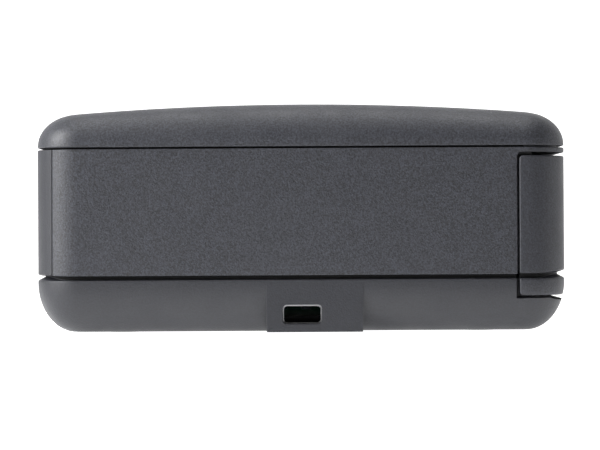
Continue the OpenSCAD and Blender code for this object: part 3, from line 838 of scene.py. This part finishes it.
def board_material(name, color):
    """Solder mask with copper tracks showing through as paler lines."""
    material, nodes, links, shader = node_material(name)
    where = nodes.new("ShaderNodeTexCoord").outputs["Object"]
    tracks = nodes.new("ShaderNodeTexBrick")
    tracks.inputs["Scale"].default_value = 160
    tracks.inputs["Mortar Size"].default_value = 0.03
    tracks.inputs["Color1"].default_value = (0, 0, 0, 1)
    tracks.inputs["Color2"].default_value = (0, 0, 0, 1)
    tracks.inputs["Mortar"].default_value = (1, 1, 1, 1)
    links.new(where, tracks.inputs["Vector"])
    mix = nodes.new("ShaderNodeMix")
    mix.data_type = "RGBA"
    mix.inputs[6].default_value = (*color, 1)
    mix.inputs[7].default_value = (color[0] * 2.4, color[1] * 2.0, color[2] * 2.2, 1)
    links.new(tracks.outputs["Color"], mix.inputs[0])
    links.new(mix.outputs[2], shader.inputs["Base Color"])
    weave = noise(nodes, links, where, 1200, 3)
    links.new(remap(nodes, links, weave, 0.22, 0.38), shader.inputs["Roughness"])
    return material


def clear_plastic(name):
    """Clear acrylic with faint surface haze."""
    material, nodes, links, shader = node_material(name)
    where = nodes.new("ShaderNodeTexCoord").outputs["Object"]
    haze = noise(nodes, links, where, 900, 3)
    links.new(remap(nodes, links, haze, 0.05, 0.18), shader.inputs["Roughness"])
    shader.inputs["Base Color"].default_value = (0.93, 0.96, 0.98, 1)
    shader.inputs["Transmission Weight"].default_value = 0.9
    shader.inputs["IOR"].default_value = 1.49
    return material


FRAME_GREY = (0.0160, 0.0171, 0.0228)
COVER_GREY = (0.0195, 0.0207, 0.0267)
BASE_GREY = (0.0090, 0.0098, 0.0140)
DOOR_GREY = (0.0145, 0.0155, 0.0212)

coarse = textured_plastic("coarse_grain_plastic", FRAME_GREY, 0.3, 0.03, 0.75)
coarse_cover = textured_plastic("cover_grain_plastic", COVER_GREY, 0.3, 0.03, 0.62)
fine_base = textured_plastic("base_grain_plastic", BASE_GREY, 0.3, 0.02, 0.28)
fine_door = textured_plastic("door_grain_plastic", DOOR_GREY, 0.3, 0.02, 0.5)
fine_panel = textured_plastic("panel_grain_plastic", (0.018, 0.018, 0.020), 0.25, 0.02, 0.15, 0.45)
# painted shade: a near-black, barely glossy stand-in for the shadow inside the seam gaps
seam_painted_shade = smooth_plastic("seam_painted_shade", (0.004, 0.004, 0.0045), 0.7, specular=0.25)
rubber = textured_plastic("foot_rubber", (0.014, 0.014, 0.015), 0.5, 0.02, 0.2, 0.75)
black_plastic = smooth_plastic("black_moulding", (0.012, 0.012, 0.013), 0.34)
chip_resin = smooth_plastic("chip_resin", (0.016, 0.016, 0.018), 0.5, 0.15)
white_plastic = smooth_plastic("white_moulding", (0.78, 0.78, 0.75), 0.35, 0.04)
button_plastic = smooth_plastic("button_moulding", (0.45, 0.45, 0.44), 0.38, 0.05)
led_resin = smooth_plastic("led_resin", (0.7, 0.75, 0.55), 0.2, 0.05)
steel = metal("plated_steel", (0.62, 0.62, 0.63), 0.32)
dark_steel = metal("black_zinc", (0.10, 0.10, 0.105), 0.42)
lock_steel = metal("lock_plate_steel", (0.36, 0.36, 0.37), 0.4, (0.06, 1, 1))
pin_steel = metal("drawn_steel", (0.66, 0.66, 0.67), 0.22, (1, 0.05, 1))
gold = metal("gold_plate", (0.86, 0.62, 0.26), 0.24)
brass = metal("turned_brass", (0.72, 0.52, 0.22), 0.3)
anodised = metal("black_anodising", (0.05, 0.05, 0.055), 0.45, (1, 1, 0.1))
can_metal = metal("drawn_can", (0.72, 0.73, 0.74), 0.25)
ceramic = smooth_plastic("ceramic", (0.40, 0.27, 0.15), 0.5, 0.1)
fuse_ceramic = smooth_plastic("fuse_ceramic", (0.68, 0.66, 0.58), 0.5, 0.06)
pad_silicone = smooth_plastic("pad_silicone", (0.28, 0.36, 0.44), 0.6, 0.06)
solder_mask = board_material("solder_mask", (0.010, 0.085, 0.040))
acrylic = clear_plastic("clear_acrylic")

NODE_MATERIALS = {
    "front_panel": fine_panel, "hinge_pins": pin_steel, "lock_plate": lock_steel,
    "rubber_feet": rubber, "threaded_pillars": brass, "case_screws": dark_steel,
    "main_board": solder_mask, "board_screws": steel, "probe_headers": black_plastic,
    "probe_header_pins": gold, "trigger_jacks": gold, "jack_insulators": white_plastic,
    "jack_contacts": gold, "usb_socket": steel, "usb_socket_tongue": white_plastic,
    "dc_jack": black_plastic, "dc_jack_pin": steel, "power_switch": black_plastic,
    "power_slider": black_plastic, "run_button": button_plastic,
    "run_button_switch": black_plastic, "status_leds": led_resin, "light_pipes": acrylic,
    "logic_array_chip": chip_resin, "thermal_pad": pad_silicone, "heat_sink": anodised,
    "memory_chips": chip_resin, "usb_controller": chip_resin, "input_buffers": chip_resin,
    "power_inductors": chip_resin, "electrolytic_capacitors": can_metal, "crystal": can_metal,
    "voltage_regulator": chip_resin, "input_fuse": fuse_ceramic, "ceramic_capacitors": ceramic,
}


def dress(obj, material, body, node, seam=None):
    """Gives a moulding its material and its body, and hides the CAD node that it stands in for.

    The seam is a pair of heights, and upright faces between them get painted shade: a near-black material
    standing in for the shadow deep in the gap.
    """
    obj.data.materials.clear()
    obj.data.materials.append(material)
    obj.data.materials.append(seam_painted_shade)
    for polygon in obj.data.polygons:
        z = polygon.center.z / MM
        # upright faces inside the seam band get the painted-shade material
        polygon.material_index = int(bool(seam) and seam[0] < z < seam[1] and abs(polygon.normal.z) < 0.3)
    weighted = obj.modifiers.new("flat_faces", "WEIGHTED_NORMAL")
    weighted.keep_sharp = True
    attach(obj, body)
    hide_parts(node)


# the bands passed below get painted shade in the gaps: the base's and the cover's tongues and the door's
# groove
dress(make_base(), fine_base, "case", "base_shell", (base_top + 0.2, base_top + 9))
dress(make_frame(), coarse, "case", "mid_frame")
dress(make_rear_panel(), fine_base, "case", "rear_panel")
dress(make_cover(), coarse_cover, "case", "top_cover", (cover_bottom - 9, cover_bottom - 0.2))
dress(make_door(), fine_door, "door", "front_door", (base_top + 0.2, base_top + DOOR_GAP - 0.1))

for node, material in NODE_MATERIALS.items():
    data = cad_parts[node].data
    data.materials.clear()
    data.materials.append(material)

# ---------- studio ----------

PAPER_GLOW = (1.15, 0.4)                # the paper glows: under the case, and further out
PAPER_GLOW_AT = (0.07, 0.115)           # the distances for these two, in metres
BACK_GLOW = 0.45                        # how much more it glows where it rises behind the case
BACK_GLOW_AT = (0.2, 0.8)
BEHIND = 1.1                            # white past the edge of the paper
SWEEP_BEND_Y = 400                      # the floor bends up here
SWEEP_BEND_R = 500


def studio():
    """A white sweep that is floor and backdrop in one."""
    profile = [(y, 0) for y in (-1200, -300, -100, 100, 250, SWEEP_BEND_Y)]
    for k in range(1, 13):
        turn = math.radians(90 * k / 12)
        profile.append((SWEEP_BEND_Y + SWEEP_BEND_R * math.sin(turn), SWEEP_BEND_R * (1 - math.cos(turn))))
    profile.append((SWEEP_BEND_Y + SWEEP_BEND_R, 2500))
    columns = [-2500, -800, -200, 200, 800, 2500]
    points = [(x, y, z) for y, z in profile for x in columns]
    n = len(columns)
    faces = [(r * n + c, r * n + c + 1, (r + 1) * n + c + 1, (r + 1) * n + c)
             for r in range(len(profile) - 1) for c in range(n - 1)]
    sweep = new_object("studio_sweep", points, faces)
    material, nodes, links, shader = node_material("studio_paper")
    shader.inputs["Base Color"].default_value = (0.94, 0.94, 0.94, 1)
    shader.inputs["Roughness"].default_value = 0.9
    shader.inputs["Emission Color"].default_value = (1, 1, 1, 1)
    where = nodes.new("ShaderNodeTexCoord").outputs["Object"]
    reach = nodes.new("ShaderNodeVectorMath")
    reach.operation = "LENGTH"
    links.new(where, reach.inputs[0])
    split = nodes.new("ShaderNodeSeparateXYZ")
    links.new(where, split.inputs[0])
    near = remap(nodes, links, reach.outputs["Value"], *PAPER_GLOW, *PAPER_GLOW_AT)
    back = remap(nodes, links, split.outputs["Y"], 0, BACK_GLOW, *BACK_GLOW_AT)
    links.new(joined(nodes, links, "ADD", near, back), shader.inputs["Emission Strength"])
    sweep.data.materials.append(material)


def softbox(name, place, aim, size, power):
    """A rectangular white light that faces a point. Places and sizes are in millimetres."""
    light = bpy.data.lights.new(name, "AREA")
    light.shape = "RECTANGLE"
    light.size, light.size_y = size[0] * MM, size[1] * MM
    light.energy = power
    obj = bpy.data.objects.new(name, light)
    bpy.context.scene.collection.objects.link(obj)
    obj.location = Vector(place) * MM
    obj.rotation_euler = (Vector(aim) * MM - obj.location).to_track_quat("-Z", "Y").to_euler()


def backdrop():
    """White where the camera sees past the paper. It lights nothing."""
    world = bpy.data.worlds.new("studio_backdrop")
    world.use_nodes = True
    nodes, links = world.node_tree.nodes, world.node_tree.links
    background = nodes["Background"]
    background.inputs["Color"].default_value = (1, 1, 1, 1)
    seen = nodes.new("ShaderNodeLightPath").outputs["Is Camera Ray"]
    links.new(remap(nodes, links, seen, 0, BEHIND, 0, 1), background.inputs["Strength"])
    bpy.context.scene.world = world


studio()
backdrop()
softbox("key_left", (-340, -200, 215), (0, -60, 20), (200, 200), 2.6)
softbox("low_left", (-560, -330, 90), (0, -20, 20), (300, 160), 1.4)
softbox("right", (600, -60, 200), (0, -20, 20), (400, 400), 0.55)
softbox("overhead", (0, -60, 500), (0, 0, 30), (420, 300), 1.7)
softbox("overhead_front", (0, -420, 520), (0, -60, 20), (500, 200), 0.65)

# ---------- camera ----------

SENSOR = 36                             # camera's sensor width
CAMERA_AWAY = 500.0                     # from the case's -Y side
FIELD = 110.1                           # width of view at that side
CAMERA_X = -0.19
CAMERA_Z = 19.67 + base_z
ROLL = -0.0057                          # radians: the case stands a hair higher at its front end

camera_data = bpy.data.cameras.new("camera")
camera_data.sensor_width = SENSOR
camera_data.lens = SENSOR * CAMERA_AWAY / FIELD
camera_data.clip_start = 0.01
camera = bpy.data.objects.new("camera", camera_data)
bpy.context.scene.collection.objects.link(camera)
camera.matrix_world = (Matrix.Translation(Vector((CAMERA_X, -half_w - CAMERA_AWAY, CAMERA_Z)) * MM)
                       @ Matrix.Rotation(math.pi / 2, 4, "X") @ Matrix.Rotation(ROLL, 4, "Z"))
bpy.context.scene.camera = camera
bpy.context.scene.view_settings.view_transform = "Standard"
